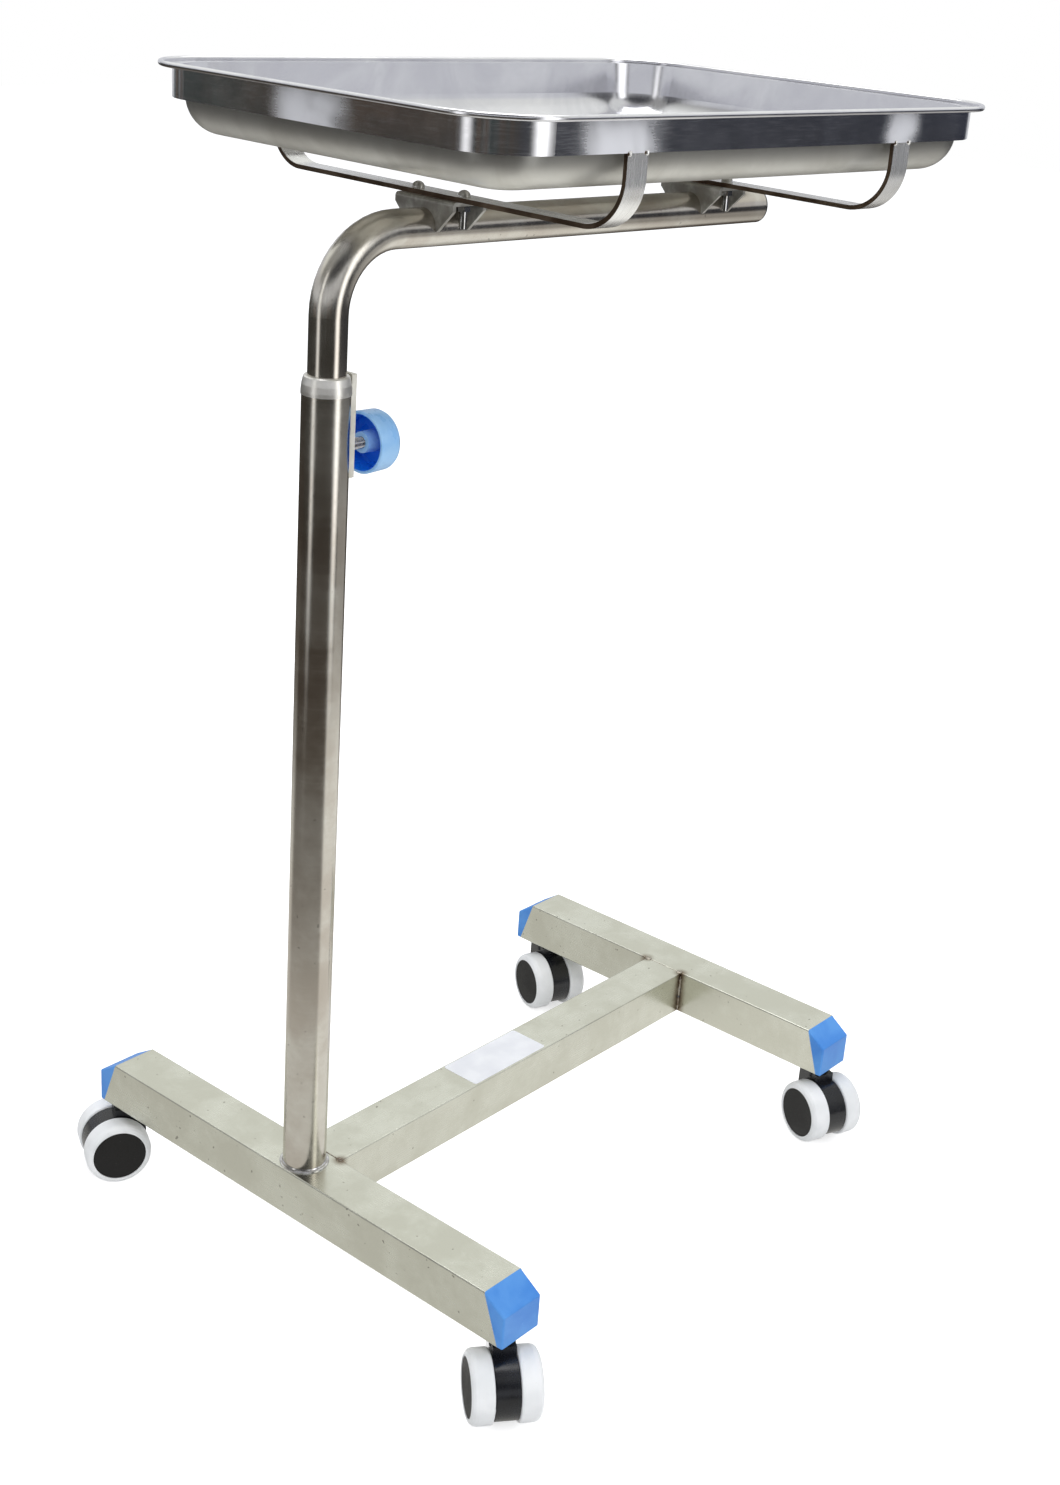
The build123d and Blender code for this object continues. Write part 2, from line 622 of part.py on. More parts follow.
def clamp_knob():
    """Deep cup with its mouth towards the mast and a boss around the screw."""
    mouth = KNOB_MOUTH_X
    end = KNOB_END_X
    floor = end - KNOB_FLOOR
    outline = [
        (mouth + KNOB_BOSS_RECESS, SCREW_RADIUS),
        (mouth + KNOB_BOSS_RECESS, KNOB_BOSS_RADIUS),
        (floor, KNOB_BOSS_RADIUS + 0.6),
        (floor, KNOB_RADIUS - KNOB_WALL - 2.2),
        (floor - 2, KNOB_RADIUS - KNOB_WALL - 0.6),
        (mouth, KNOB_RADIUS - KNOB_WALL),
        (mouth, KNOB_RADIUS - 0.6),
        (mouth + 0.6, KNOB_RADIUS),
        (end - 3.4, KNOB_RADIUS - 0.5),
        (end - 1.2, KNOB_RADIUS - 1.6),
        (end, KNOB_RADIUS - 4.2),
        (end, 0),
        (end - KNOB_SCREW_DEPTH, 0),
        (end - KNOB_SCREW_DEPTH, SCREW_RADIUS),
    ]
    section = make_face(Polyline(*outline, close=True))
    return Pos(0, 0, CLAMP_HEIGHT) * revolve(section, Axis.X)


def build():
    os.makedirs("parts", exist_ok=True)
    bars = {
        "rear": (0.0, REAR_BAR_TOP_LENGTH, REAR_BAR_BOTTOM_LENGTH),
        "front": (FRONT_BAR_X, FRONT_BAR_TOP_LENGTH, FRONT_BAR_BOTTOM_LENGTH),
    }
    for name, (x, top_length, bottom_length) in bars.items():
        save(f"{name}_bar", cross_bar(x, top_length, bottom_length))
        for side_name, side in (("left", LEFT), ("right", RIGHT)):
            save(f"{name}_{side_name}_cap", end_cap(x, top_length, bottom_length, side))
    save("middle_bar", middle_bar())
    save("frame_welds", frame_welds())
    save("mast_tube", mast_tube())
    save("mast_weld", mast_weld())
    save("guide_collar", guide_collar())
    save("clamp_plate", clamp_plate())
    save_casters()
    save("foot_glide", foot_glide(), turned=True)
    save("gooseneck_tube", gooseneck_tube(), turned=True)
    save("arm_plug", arm_plug(), turned=True)
    for name, x in STRAP_X.items():
        save(f"{name}_saddle", saddle(x), turned=True)
        save(f"{name}_strap", carrier_strap(x), turned=True)
        save(f"{name}_bolts", carrier_bolts(x), turned=True)
        save(f"{name}_nuts", carrier_nuts(x), turned=True)
    save("hoop", hoop(), turned=True)
    save("tray", tray(), turned=True)
    save("clamp_pad", clamp_pad())
    save("clamp_screw", clamp_screw())
    save("clamp_knob", clamp_knob())


build()
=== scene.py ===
import math
import random

import bmesh
import bpy
from mathutils import Matrix, Vector


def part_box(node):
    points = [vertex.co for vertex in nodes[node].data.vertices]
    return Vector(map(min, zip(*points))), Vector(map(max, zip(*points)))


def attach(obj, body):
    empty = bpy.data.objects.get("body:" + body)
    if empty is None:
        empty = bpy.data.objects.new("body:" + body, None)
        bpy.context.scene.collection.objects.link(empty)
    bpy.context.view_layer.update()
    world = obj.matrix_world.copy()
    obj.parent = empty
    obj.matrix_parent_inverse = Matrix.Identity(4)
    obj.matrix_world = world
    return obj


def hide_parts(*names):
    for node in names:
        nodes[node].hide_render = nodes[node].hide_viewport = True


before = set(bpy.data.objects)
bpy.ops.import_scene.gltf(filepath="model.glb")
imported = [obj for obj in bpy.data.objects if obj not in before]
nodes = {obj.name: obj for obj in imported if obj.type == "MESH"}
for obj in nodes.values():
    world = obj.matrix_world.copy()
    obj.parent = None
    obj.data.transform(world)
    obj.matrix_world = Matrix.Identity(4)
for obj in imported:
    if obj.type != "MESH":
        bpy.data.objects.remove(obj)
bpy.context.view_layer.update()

MM = 0.001

# Places read from the frame, in metres
mast_low, mast_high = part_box("mast_tube")
bar_low, bar_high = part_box("middle_bar")
hoop_low, hoop_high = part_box("hoop")
knob_low, knob_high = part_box("clamp_knob")
screw_low, screw_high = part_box("clamp_screw")
MAST_X = (mast_low.x + mast_high.x) / 2
HOOP_BOTTOM = hoop_low.z
HOOP_TOP = hoop_high.z
KNOB_Z = (knob_low.z + knob_high.z) / 2
KNOB_RADIUS = (knob_high.z - knob_low.z) / 2
SCREW_RADIUS = (screw_high.z - screw_low.z) / 2

# The arm, hoop and tray are turned about the mast by this angle
ARM_TURN = math.radians(-5.7)
ARM_PLACE = Matrix.Translation((MAST_X, 0, 0)) @ Matrix.Rotation(ARM_TURN, 4, "Z")


def in_arm_frame(node):
    """Box of a node along the arm's own axes, measured from the mast."""
    back = ARM_PLACE.inverted()
    places = [back @ vertex.co for vertex in nodes[node].data.vertices]
    low = Vector([min(place[i] for place in places) for i in range(3)])
    high = Vector([max(place[i] for place in places) for i in range(3)])
    return low, high


hoop_box = in_arm_frame("hoop")
strap_boxes = [in_arm_frame(f"{end}_strap") for end in ("rear", "front")]
HOOP_REAR = hoop_box[0].x
HOOP_HALF_WIDTH = (hoop_box[1].y - hoop_box[0].y) / 2
TRAY_MIDDLE = (hoop_box[0].x + hoop_box[1].x) / 2
STRAP_MIDDLES = [(low.x + high.x) / 2 for low, high in strap_boxes]
STRAP_HALF_WIDTH = (strap_boxes[0][1].x - strap_boxes[0][0].x) / 2

# Camera: where the photographer stood, and what the lens does
CAMERA_PLACE = Vector((-1.0966, -0.8996, 0.9549))
CAMERA_YAW = math.radians(39.694)
CAMERA_PITCH = math.radians(22.042)
CAMERA_ROLL = math.radians(-3.894)
FOCAL_PIXELS = 2013.89
FRAME_HEIGHT_PIXELS = 1485
CENTRE_OFFSET_PIXELS = (18.21, -8.96)
SENSOR_MM = 36.0
CLIP_START = 0.05
CLIP_END = 40

# Level directions in the photo: away from the camera, and to its right
BACK = Vector((math.cos(CAMERA_YAW), math.sin(CAMERA_YAW), 0))
SIDE = Vector((math.sin(CAMERA_YAW), -math.cos(CAMERA_YAW), 0))

# Pale haze on the hoop at the strap welds: (x along the arm, side, reach), and one on its rear face
HOOP_HAZE = (
    (STRAP_MIDDLES[0] - 14 * MM, -1, 56 * MM),
    (STRAP_MIDDLES[1] - 2 * MM, -1, 32 * MM),
    (STRAP_MIDDLES[0], 1, 30 * MM),
    (STRAP_MIDDLES[1], 1, 30 * MM),
)
HAZE_HEIGHT = 7 * MM
REAR_HAZE_Y = -2 * MM
REAR_HAZE_HEIGHT = 8 * MM
REAR_HAZE_REACH = 58 * MM

# Shade of the hoop on the tray's outside: how far below the hoop it is still full, and where it ends
SHADE_FULL = 2 * MM
SHADE_END = 17 * MM

# The knob's pale shell turns to the deep blue painted shade of its cup between these depths under its side
# and end
KNOB_WALL = (1.6 * MM, 2.3 * MM)
KNOB_END = (1.2 * MM, 2.0 * MM)
KNOB_BOSS_RADIUS = 7.0 * MM

# Welds
HEAT_STAIN_REACH = 9 * MM
BEAD_RADIUS = 1.25 * MM
BEAD_STAND_OFF = 0.5 * MM
BEAD_FOOT = 2.0 * MM
BEAD_TOP = 2.5 * MM
TACK_RADIUS = 2.6 * MM
TACK_INSET = 2.0 * MM
TACK_FLATNESS = 0.35
SEAM_RADIUS = 0.5 * MM
SEAM_SINK = 0.32 * MM
SEAM_INSET = 1.5 * MM
DOT_RADIUS = 1.7 * MM
DOT_INSET = 1.4 * MM
DOT_SINK = 0.2 * MM

# Clamp screw
THREAD_PITCH = 1.25 * MM
THREAD_DEPTH = 0.55 * MM
THREAD_RUN_IN = 1.0 * MM
SCREW_CHAMFER = 0.4 * MM

# Label
LABEL_LENGTH = 85 * MM
LABEL_WIDTH = 35 * MM
LABEL_CORNER = 2.5 * MM
LABEL_THICKNESS = 0.18 * MM
LABEL_EDGE = 0.06 * MM
LABEL_FROM_MAST = 211.5 * MM


def srgb(red, green, blue):
    """Linear colour from 0 to 255 display values."""
    def linear(value):
        value /= 255
        return value / 12.92 if value <= 0.04045 else ((value + 0.055) / 1.055) ** 2.4
    return (linear(red), linear(green), linear(blue), 1.0)


# Shader helpers

def plug(tree, socket, value):
    """Link an output to a socket, or set the socket's own value."""
    if isinstance(value, bpy.types.NodeSocket):
        tree.links.new(value, socket)
    else:
        socket.default_value = value


def add(tree, kind, inputs=None, **settings):
    """Add a shader node with its inputs and settings."""
    made = tree.nodes.new(kind)
    for key, value in settings.items():
        setattr(made, key, value)
    for key, value in (inputs or {}).items():
        plug(tree, made.inputs[key], value)
    return made


def feed(tree, shader, **values):
    """Plug the shader's inputs; underscores stand for the spaces in their names."""
    for key, value in values.items():
        plug(tree, shader.inputs[key.replace("_", " ")], value)


def maths(tree, operation, first, second=0.0):
    return add(tree, "ShaderNodeMath", {0: first, 1: second}, operation=operation).outputs[0]


def vector_maths(tree, operation, first, second=(0.0, 0.0, 0.0)):
    """A vector, or a number for a dot product or a length."""
    made = add(tree, "ShaderNodeVectorMath", {0: first, 1: second}, operation=operation)
    return made.outputs["Value" if operation in ("DOT_PRODUCT", "LENGTH") else "Vector"]


def component(tree, vector, axis):
    return add(tree, "ShaderNodeSeparateXYZ", {0: vector}).outputs[axis]


def object_place(tree):
    return add(tree, "ShaderNodeTexCoord").outputs["Object"]


def stretched(tree, place, scale):
    return add(tree, "ShaderNodeMapping", {"Vector": place, "Scale": scale}).outputs["Vector"]


def noise(tree, place, scale, detail=3.0, roughness=0.5, distortion=0.0):
    inputs = {
        "Vector": place,
        "Scale": scale,
        "Detail": detail,
        "Roughness": roughness,
        "Distortion": distortion,
    }
    return add(tree, "ShaderNodeTexNoise", inputs).outputs["Fac"]


def spread(tree, value, low, high, to_low=0.0, to_high=1.0):
    """Map value from low..high to to_low..to_high, held at the ends."""
    inputs = {
        "Value": value,
        "From Min": low,
        "From Max": high,
        "To Min": to_low,
        "To Max": to_high,
    }
    return add(tree, "ShaderNodeMapRange", inputs, interpolation_type="SMOOTHSTEP").outputs["Result"]


def blend_colours(tree, factor, first, second):
    made = add(tree, "ShaderNodeMix", data_type="RGBA")
    sockets = [socket for socket in made.inputs if socket.enabled]
    for socket, value in zip(sockets, (factor, first, second)):
        plug(tree, socket, value)
    return [socket for socket in made.outputs if socket.enabled][0]


def two_tone(tree, pattern, low, high, first, second):
    """The first colour where the pattern is under low, the second where it is over high."""
    return blend_colours(tree, spread(tree, pattern, low, high), first, second)


def bump(tree, height, strength, distance, normal=None):
    inputs = {"Height": height, "Strength": strength, "Distance": distance}
    if normal:
        inputs["Normal"] = normal
    return add(tree, "ShaderNodeBump", inputs).outputs["Normal"]


def near(tree, place, centre, reach, keep=(1, 1, 1)):
    """1 at the centre falling to 0 at reach; keep scales the axes, and 0 drops one."""
    offset = vector_maths(tree, "SUBTRACT", place, centre)
    kept = vector_maths(tree, "MULTIPLY", offset, keep)
    return spread(tree, vector_maths(tree, "LENGTH", kept), 0.0, reach, 1.0, 0.0)


def most(tree, values):
    result = values[0]
    for value in values[1:]:
        result = maths(tree, "MAXIMUM", result, value)
    return result


def new_material(name):
    material = bpy.data.materials.new(name)
    material.use_nodes = True
    tree = material.node_tree
    return material, tree, tree.nodes["Principled BSDF"]


# Metals

GRAIN_X = (5.0, 900.0, 900.0)
GRAIN_Y = (900.0, 5.0, 900.0)
GRAIN_Z = (900.0, 900.0, 5.0)
GRAIN_ROUND = (10.0, 10.0, 1100.0)
GRAIN_STRAP = (900.0, 12.0, 12.0)
GRAIN_HOOP = (60.0, 60.0, 1500.0)
GRAIN_DRAWN = (900.0, 900.0, 60.0)
LINE_DEPTH = 0.2 * MM
SPECK_BROWN = srgb(70, 62, 52)
HEAT_BROWN = srgb(104, 84, 62)


def steel(
    name, light, dark, grain, roughness, patch_scale=24.0, specks=0.5, stains=(), wave=0.0, metal=1.0
):
    """Stainless steel: cloudy patches, fine lines along the grain, specks and heat stains."""
    material, tree, shader = new_material(name)
    place = object_place(tree)
    patches = noise(tree, place, patch_scale, 4.0, 0.6, 0.15)
    colour = two_tone(tree, patches, 0.36, 0.66, dark, light)
    clouds = noise(tree, place, patch_scale * 5, 3.0, 0.6)
    colour = blend_colours(tree, spread(tree, clouds, 0.3, 0.75, 0.0, 0.3), colour, dark)
    if specks:
        spots = spread(tree, noise(tree, place, 260.0, 1.0, 0.3), 0.755, 0.8, 0.0, specks)
        colour = blend_colours(tree, spots, colour, SPECK_BROWN)
    if stains:
        heat = most(tree, [near(tree, place, *stain) for stain in stains])
        patchy = spread(tree, noise(tree, place, 90.0), 0.25, 0.6, 0.45, 1.0)
        colour = blend_colours(tree, maths(tree, "MULTIPLY", heat, patchy), colour, HEAT_BROWN)
    lines = noise(tree, stretched(tree, place, grain), 1.0, 2.0, 0.6)
    uneven = maths(tree, "ADD", patches, maths(tree, "MULTIPLY", lines, 0.5))
    low, high = roughness
    rough = spread(tree, uneven, 0.55, 1.0, low, high)
    normal = bump(tree, lines, 0.05, LINE_DEPTH)
    if wave:
        normal = bump(tree, noise(tree, place, 14.0, 1.0, 0.4), wave, 4 * MM, normal)
    feed(tree, shader, Base_Color=colour, Metallic=metal, Roughness=rough, Normal=normal)
    return material


def joint_stains():
    """Heat tint at the upright welds between the middle bar and the cross bars."""
    flat = (1, 1, 0)
    corners = [(x, y, 0) for x in (bar_low.x, bar_high.x) for y in (bar_low.y, bar_high.y)]
    return [(corner, HEAT_STAIN_REACH, flat) for corner in corners]


def base_steel(name, grain):
    return steel(
        name,
        light=srgb(212, 213, 202),
        dark=srgb(199, 199, 187),
        grain=grain,
        roughness=(0.20, 0.30),
        stains=joint_stains(),
        wave=0.08,
    )


def mast_steel(name, grain):
    return steel(
        name,
        light=srgb(214, 211, 203),
        dark=srgb(188, 181, 171),
        grain=grain,
        roughness=(0.17, 0.27),
        patch_scale=16.0,
        specks=0.3,
        wave=0.05,
    )


def strap_steel():
    """Bright satin faces; the sawn edges of the strip are dull and brown."""
    material, tree, shader = new_material("strap_steel")
    coordinates = add(tree, "ShaderNodeTexCoord").outputs
    place = coordinates["Object"]
    along_arm = ARM_PLACE.to_3x3() @ Vector((1, 0, 0))
    across = vector_maths(tree, "DOT_PRODUCT", coordinates["Normal"], along_arm)
    edge = spread(tree, maths(tree, "ABSOLUTE", across), 0.6, 0.8)
    patches = noise(tree, place, 40.0, 3.0, 0.5, 0.2)
    face = two_tone(tree, patches, 0.35, 0.65, srgb(234, 233, 230), srgb(246, 246, 245))
    sawn = two_tone(tree, patches, 0.35, 0.65, srgb(92, 76, 62), srgb(128, 112, 96))
    lines = noise(tree, stretched(tree, place, GRAIN_STRAP), 1.0, 2.0, 0.6)
    satin = spread(tree, lines, 0.3, 0.75, 0.18, 0.30)
    feed(
        tree,
        shader,
        Base_Color=blend_colours(tree, edge, face, sawn),
        Metallic=spread(tree, edge, 0.0, 1.0, 0.78, 1.0),
        Roughness=maths(tree, "ADD", satin, maths(tree, "MULTIPLY", edge, 0.15)),
        Normal=bump(tree, lines, 0.05, LINE_DEPTH),
    )
    return material


def bracket_steel():
    return steel(
        "bracket_steel",
        light=srgb(196, 195, 189),
        dark=srgb(142, 139, 132),
        grain=GRAIN_Z,
        roughness=(0.34, 0.5),
        patch_scale=60.0,
        specks=0.4,
        metal=0.6,
    )


def hoop_steel():
    """Polished flat bar with pale haze where each strap end is welded on, and on its rear face."""
    material, tree, shader = new_material("hoop_steel")
    place = object_place(tree)
    cloud = noise(tree, place, 34.0, 3.0, 0.5, 0.4)
    haze_spots = []
    for x, side, reach in HOOP_HAZE:
        centre = ARM_PLACE @ Vector((x, side * HOOP_HALF_WIDTH, HOOP_BOTTOM + HAZE_HEIGHT))
        haze_spots.append(near(tree, place, centre, reach, (1.0, 1.0, 0.8)))
    rear_spot = ARM_PLACE @ Vector((HOOP_REAR, REAR_HAZE_Y, HOOP_BOTTOM + REAR_HAZE_HEIGHT))
    haze_spots.append(near(tree, place, rear_spot, REAR_HAZE_REACH))
    ragged = spread(tree, cloud, 0.2, 0.7, 0.55, 1.0)
    haze = maths(tree, "MULTIPLY", most(tree, haze_spots), ragged)
    haze = spread(tree, haze, 0.08, 0.85, 0.0, 0.9)
    colour = two_tone(tree, cloud, 0.35, 0.7, srgb(205, 205, 208), srgb(226, 226, 228))
    scratches = noise(tree, stretched(tree, place, GRAIN_HOOP), 1.0, 2.0, 0.7)
    polish = spread(tree, scratches, 0.4, 0.8, 0.15, 0.23)
    feed(
        tree,
        shader,
        Base_Color=blend_colours(tree, haze, colour, srgb(236, 237, 242)),
        Metallic=maths(tree, "SUBTRACT", 1.0, maths(tree, "MULTIPLY", haze, 0.72)),
        Roughness=maths(tree, "ADD", polish, maths(tree, "MULTIPLY", haze, 0.30)),
        Normal=bump(tree, noise(tree, place, 22.0, 2.0, 0.5), 0.10, 2 * MM),
    )
    return material


def tray_outside(tree, place, normal):
    """1 on the outside of the tray's bowl, 0 inside it and on the rim."""
    from_middle = vector_maths(tree, "SUBTRACT", place, ARM_PLACE @ Vector((TRAY_MIDDLE, 0, 0)))
    flat = vector_maths(tree, "MULTIPLY", from_middle, (1.0, 1.0, 0.0))
    outward = vector_maths(tree, "DOT_PRODUCT", normal, flat)
    downward = maths(tree, "MULTIPLY", component(tree, normal, "Z"), -0.12)
    outside = spread(tree, maths(tree, "ADD", outward, downward), 0.0, 0.02)
    height = component(tree, place, "Z")
    below_rim = spread(tree, height, HOOP_TOP - 4 * MM, HOOP_TOP - 1 * MM, 1.0, 0.0)
    return maths(tree, "MULTIPLY", outside, below_rim)


def tray_steel():
    """Drawn sheet: bright inside and on the rim, satin outside and darker under the hoop."""
    material, tree, shader = new_material("tray_steel")
    coordinates = add(tree, "ShaderNodeTexCoord").outputs
    place = coordinates["Object"]
    outside = tray_outside(tree, place, coordinates["Normal"])
    patches = noise(tree, place, 14.0, 4.0, 0.6, 1.0)
    bright = two_tone(tree, patches, 0.3, 0.7, srgb(214, 214, 219), srgb(230, 230, 233))
    satin = two_tone(tree, patches, 0.3, 0.7, srgb(196, 194, 186), srgb(216, 215, 208))
    height = component(tree, place, "Z")
    shaded = spread(tree, height, HOOP_BOTTOM - SHADE_END, HOOP_BOTTOM - SHADE_FULL, 0.0, 0.75)
    satin = blend_colours(tree, shaded, satin, srgb(120, 119, 116))
    drawn = noise(tree, stretched(tree, place, GRAIN_DRAWN), 1.0, 2.0, 0.6)
    polish = spread(tree, drawn, 0.35, 0.75, 0.17, 0.24)
    fine = bump(tree, drawn, 0.02, LINE_DEPTH)
    feed(
        tree,
        shader,
        Base_Color=blend_colours(tree, outside, bright, satin),
        Metallic=maths(tree, "ADD", maths(tree, "MULTIPLY", outside, -0.32), 1.0),
        Roughness=maths(tree, "ADD", polish, maths(tree, "MULTIPLY", outside, 0.17)),
        Normal=bump(tree, noise(tree, place, 9.0, 1.0, 0.4), 0.10, 4 * MM, fine),
    )
    return material


def collar_steel():
    return steel(
        "collar_steel",
        light=srgb(240, 239, 235),
        dark=srgb(226, 224, 218),
        grain=GRAIN_ROUND,
        roughness=(0.30, 0.42),
        patch_scale=60.0,
        specks=0.0,
        metal=0.85,
    )


def plate_steel():
    """Pale satin plate behind the knob."""
    return steel(
        "plate_steel",
        light=srgb(240, 238, 228),
        dark=srgb(224, 221, 208),
        grain=GRAIN_Z,
        roughness=(0.36, 0.5),
        patch_scale=60.0,
        specks=0.0,
        metal=0.35,
    )


def weld_steel():
    """Weld metal: rippled grey with brown and blue heat tint."""
    material, tree, shader = new_material("weld_steel")
    place = object_place(tree)
    tint = noise(tree, place, 160.0, 3.0, 0.6, 0.5)
    colour = two_tone(tree, tint, 0.35, 0.6, srgb(92, 74, 56), srgb(168, 162, 150))
    colour = two_tone(tree, noise(tree, place, 420.0), 0.58, 0.75, colour, srgb(86, 92, 104))
    grains = noise(tree, place, 1400.0, 4.0, 0.7)
    feed(
        tree,
        shader,
        Base_Color=colour,
        Metallic=0.9,
        Roughness=spread(tree, grains, 0.3, 0.7, 0.28, 0.5),
        Normal=bump(tree, grains, 0.35, 0.3 * MM),
    )
    return material


def fastener_steel():
    return steel(
        "fastener_steel",
        light=srgb(222, 222, 224),
        dark=srgb(180, 178, 174),
        grain=GRAIN_ROUND,
        roughness=(0.10, 0.2),
        patch_scale=180.0,
        specks=0.0,
    )


def brass():
    return steel(
        "brass",
        light=srgb(214, 180, 106),
        dark=srgb(176, 140, 74),
        grain=GRAIN_ROUND,
        roughness=(0.25, 0.4),
        patch_scale=200.0,
        specks=0.0,
    )


# Plastics and the label

def moulded(name, light, dark, roughness, grain_scale, grain_depth, specular=0.5, dust=None):
    """Moulded plastic: faint colour drift, a fine spark-eroded skin and a little dust."""
    material, tree, shader = new_material(name)
    place = object_place(tree)
    drift = noise(tree, place, 35.0, 3.0, 0.5, 0.4)
    colour = two_tone(tree, drift, 0.3, 0.7, dark, light)
    grains = noise(tree, place, grain_scale, 3.0, 0.65)
    if dust:
        specks = spread(tree, noise(tree, place, 700.0, 2.0, 0.5), 0.66, 0.78, 0.0, 0.35)
        colour = blend_colours(tree, specks, colour, dust)
    low, high = roughness
    feed(
        tree,
        shader,
        Base_Color=colour,
        Roughness=spread(tree, maths(tree, "ADD", drift, grains), 0.75, 1.25, low, high),
        Normal=bump(tree, grains, grain_depth, LINE_DEPTH),
        Specular_IOR_Level=specular,
    )
    return material


def blue_plastic():
    return moulded(
        "blue_plastic",
        light=srgb(84, 152, 226),
        dark=srgb(58, 132, 216),
        roughness=(0.38, 0.5),
        grain_scale=1500.0,
        grain_depth=0.25,
        dust=srgb(110, 172, 236),
    )


def knob_plastic():
    """Pale blue shell and boss, and between them a deep blue cup that is painted shade in the hollow."""
    material, tree, shader = new_material("knob_plastic")
    place = object_place(tree)
    drift = noise(tree, place, 60.0, 3.0, 0.5, 0.4)
    shell = two_tone(tree, drift, 0.3, 0.7, srgb(134, 188, 242), srgb(160, 206, 248))
    # Painted shade: the deep blue stands for the shade inside the knob's hollow cup, while the boss keeps a
    # pale blue
    cup_painted_shade = two_tone(tree, drift, 0.3, 0.7, srgb(14, 112, 232), srgb(30, 132, 246))
    from_axis = vector_maths(tree, "SUBTRACT", place, (0.0, 0.0, KNOB_Z))
    around = vector_maths(tree, "MULTIPLY", from_axis, (0.0, 1.0, 1.0))
    radius = vector_maths(tree, "LENGTH", around)
    boss = spread(tree, radius, KNOB_BOSS_RADIUS + 0.2 * MM, KNOB_BOSS_RADIUS + 0.8 * MM, 1.0, 0.0)
    cup_painted_shade = blend_colours(tree, boss, cup_painted_shade, srgb(150, 196, 244))
    skin = spread(tree, radius, KNOB_RADIUS - KNOB_WALL[1], KNOB_RADIUS - KNOB_WALL[0])
    along = component(tree, place, "X")
    end_face = spread(tree, along, knob_high.x - KNOB_END[1], knob_high.x - KNOB_END[0])
    feed(
        tree,
        shader,
        Base_Color=blend_colours(tree, most(tree, [skin, end_face]), cup_painted_shade, shell),
        Roughness=spread(tree, drift, 0.3, 0.7, 0.24, 0.36),
        Normal=bump(tree, noise(tree, place, 1300.0, 3.0, 0.6), 0.12, LINE_DEPTH),
    )
    return material


def black_plastic():
    return moulded(
        "black_plastic",
        light=srgb(27, 29, 35),
        dark=srgb(15, 16, 20),
        roughness=(0.18, 0.30),
        grain_scale=1100.0,
        grain_depth=0.18,
        dust=srgb(70, 72, 78),
    )


def hub_plastic():
    return moulded(
        "hub_plastic",
        light=srgb(24, 23, 23),
        dark=srgb(13, 12, 12),
        roughness=(0.5, 0.66),
        grain_scale=900.0,
        grain_depth=0.5,
        specular=0.35,
        dust=srgb(74, 70, 64),
    )


def white_tyre():
    return moulded(
        "white_tyre",
        light=srgb(244, 245, 246),
        dark=srgb(228, 230, 231),
        roughness=(0.4, 0.55),
        grain_scale=700.0,
        grain_depth=0.12,
        dust=srgb(205, 204, 198),
    )


def nylon():
    return moulded(
        "nylon",
        light=srgb(232, 229, 216),
        dark=srgb(216, 212, 198),
        roughness=(0.45, 0.6),
        grain_scale=500.0,
        grain_depth=0.1,
    )


def label_foil():
    """Blank satin label stock with a slight crinkle."""
    material, tree, shader = new_material("label_foil")
    place = object_place(tree)
    drift = noise(tree, place, 50.0, 3.0, 0.5)
    crinkle = noise(tree, place, 120.0, 2.0, 0.5, 0.6)
    feed(
        tree,
        shader,
        Base_Color=two_tone(tree, drift, 0.3, 0.7, srgb(230, 232, 238), srgb(240, 242, 246)),
        Metallic=0.15,
        Roughness=spread(tree, drift, 0.3, 0.7, 0.3, 0.42),
        Normal=bump(tree, crinkle, 0.15, 0.6 * MM),
    )
    return material


# Which finish each node of the frame has, by its name or by the end of its name
FINISHES = {
    "rear_bar": "base_y",
    "front_bar": "base_y",
    "middle_bar": "base_x",
    "mast_tube": "mast",
    "mast_weld": "fastener",
    "guide_collar": "collar",
    "clamp_plate": "plate",
    "gooseneck_tube": "arm",
    "arm_plug": "black",
    "hoop": "hoop",
    "tray": "tray",
    "clamp_pad": "brass",
    "clamp_screw": "fastener",
    "clamp_knob": "knob",
    "frame_welds": "weld",
    "foot_glide": "nylon",
    "stem_bushes": "black",
}
FINISHES_BY_ENDING = {
    "_cap": "blue",
    "_stem": "fastener",
    "_axle": "fastener",
    "_hood": "black",
    "_hub_a": "hub",
    "_hub_b": "hub",
    "_tyre_a": "tyre",
    "_tyre_b": "tyre",
    "_saddle": "bracket",
    "_strap": "strap",
    "_bolts": "fastener",
    "_nuts": "fastener",
}


def dress_cad_nodes(materials):
    """Give every node of the frame its finish."""
    for name, cad_node in nodes.items():
        finish = FINISHES.get(name)
        if finish is None:
            finish = next(value for ending, value in FINISHES_BY_ENDING.items() if name.endswith(ending))
        cad_node.data.materials.clear()
        cad_node.data.materials.append(materials[finish])


# Pieces

def piece_from(made, name, body, material, smooth=True):
    """Turn a bmesh into a named piece that rides on a body."""
    mesh = bpy.data.meshes.new(name)
    bmesh.ops.recalc_face_normals(made, faces=made.faces)
    made.to_mesh(mesh)
    made.free()
    for polygon in mesh.polygons:
        polygon.use_smooth = smooth
    piece = bpy.data.objects.new(name, mesh)
    bpy.context.scene.collection.objects.link(piece)
    mesh.materials.append(material)
    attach(piece, body)
    return piece


def bridge_rings(made, rings):
    """Skin between rings of points, with a flat face at each end."""
    loops = [[made.verts.new(point) for point in ring] for ring in rings]
    count = len(loops[0])
    for first, second in zip(loops, loops[1:]):
        for i in range(count):
            j = (i + 1) % count
            made.faces.new((first[i], first[j], second[j], second[i]))
    made.faces.new(loops[0][::-1])
    made.faces.new(loops[-1])


def directions_about(axis):
    """The axis as a unit vector, and two unit vectors square to it and to each other."""
    direction = axis.normalized()
    across = direction.orthogonal().normalized()
    return direction, across, direction.cross(across)


